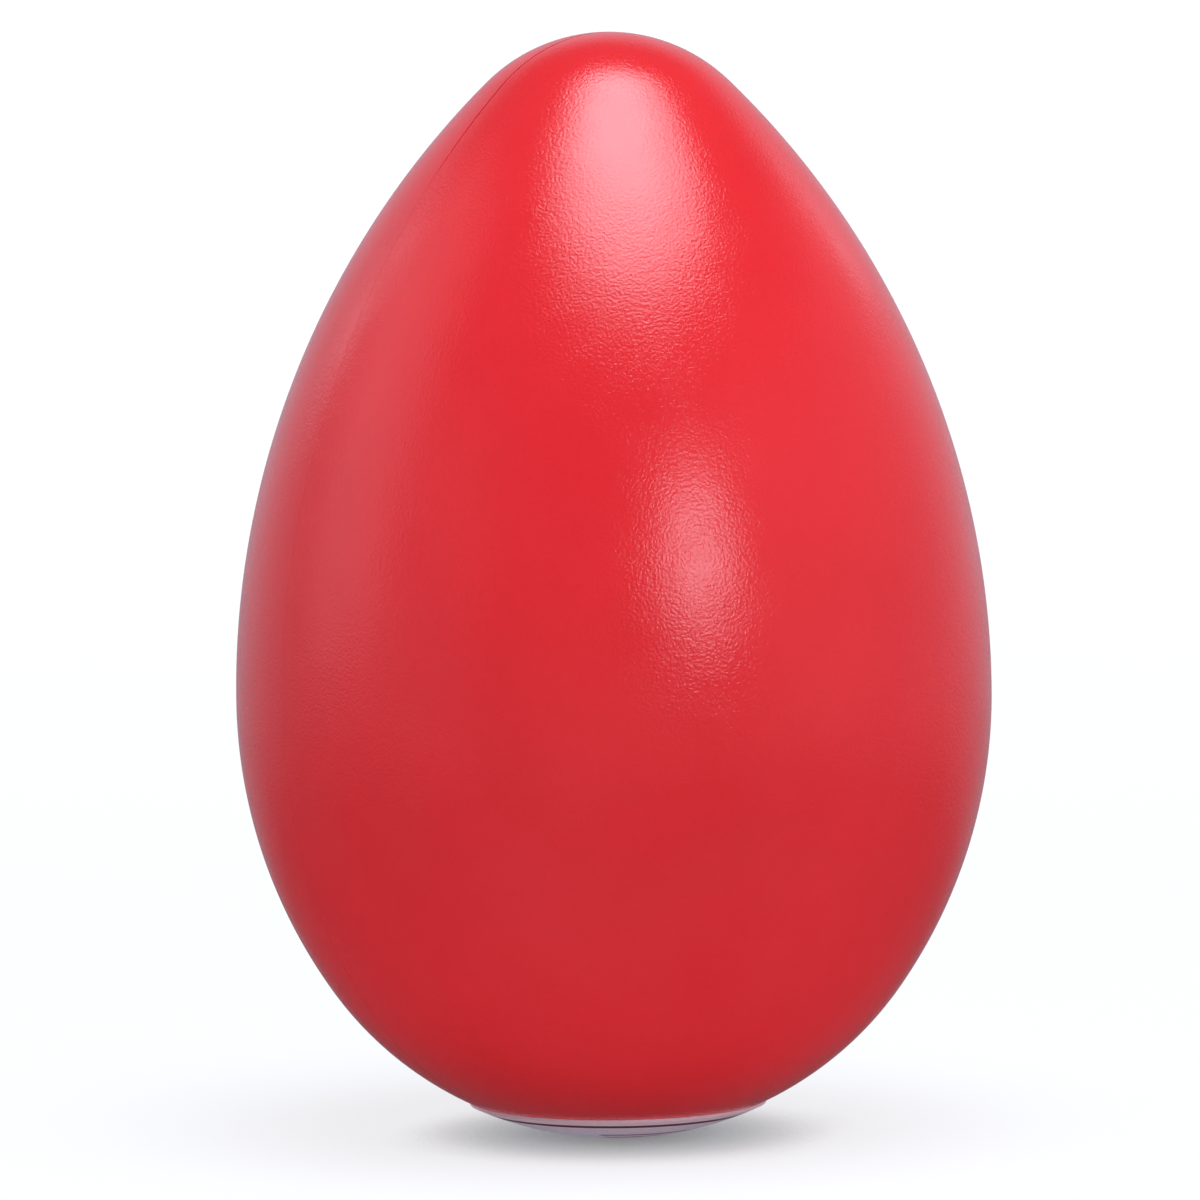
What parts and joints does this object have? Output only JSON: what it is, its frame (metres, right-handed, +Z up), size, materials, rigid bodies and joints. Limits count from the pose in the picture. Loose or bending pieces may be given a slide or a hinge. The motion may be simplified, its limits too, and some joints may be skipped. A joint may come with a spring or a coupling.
{
  "type": "egg shaker",
  "caption": "Hand-held egg-shaped percussion shaker: a sealed plastic egg in two lengthwise halves, with loose steel shot inside and a round label on its blunt end.",
  "frame": {"origin": "centre of the small flat that the egg rests on, at its blunt end", "axes": "+Z up the egg's axis to the tip; the two shell halves meet in the XZ plane, the front half on the -Y side"},
  "size_m": [0.042, 0.042, 0.0614],
  "materials": {
    "red_plastic": "moulded satin gloss with a fine grain",
    "label_film": "printed, semi-gloss",
    "steel_shot": "polished balls, lightly worn"
  },
  "bodies": {
    "egg": {"front_shell": "red_plastic", "back_shell": "red_plastic", "base_label": "label_film"},
    "core_shot": {"shot_core": "steel_shot"},
    "inner_shot": {"shot_inner_ring": "steel_shot"},
    "middle_shot": {"shot_middle_ring": "steel_shot"},
    "outer_shot": {"shot_outer_ring": "steel_shot"}
  },
  "joints": [
    {"name": "core_shot_rise", "type": "slide", "parent": "egg", "child": "core_shot", "axis": [0, 0, 1], "range_m": [0, 0.0479]},
    {"name": "inner_shot_rise", "type": "slide", "parent": "egg", "child": "inner_shot", "axis": [0, 0, 1], "range_m": [0, 0.0435]},
    {"name": "middle_shot_rise", "type": "slide", "parent": "egg", "child": "middle_shot", "axis": [0, 0, 1], "range_m": [0, 0.0399]},
    {"name": "outer_shot_rise", "type": "slide", "parent": "egg", "child": "outer_shot", "axis": [0, 0, 1], "range_m": [0, 0.0332]}
  ]
}
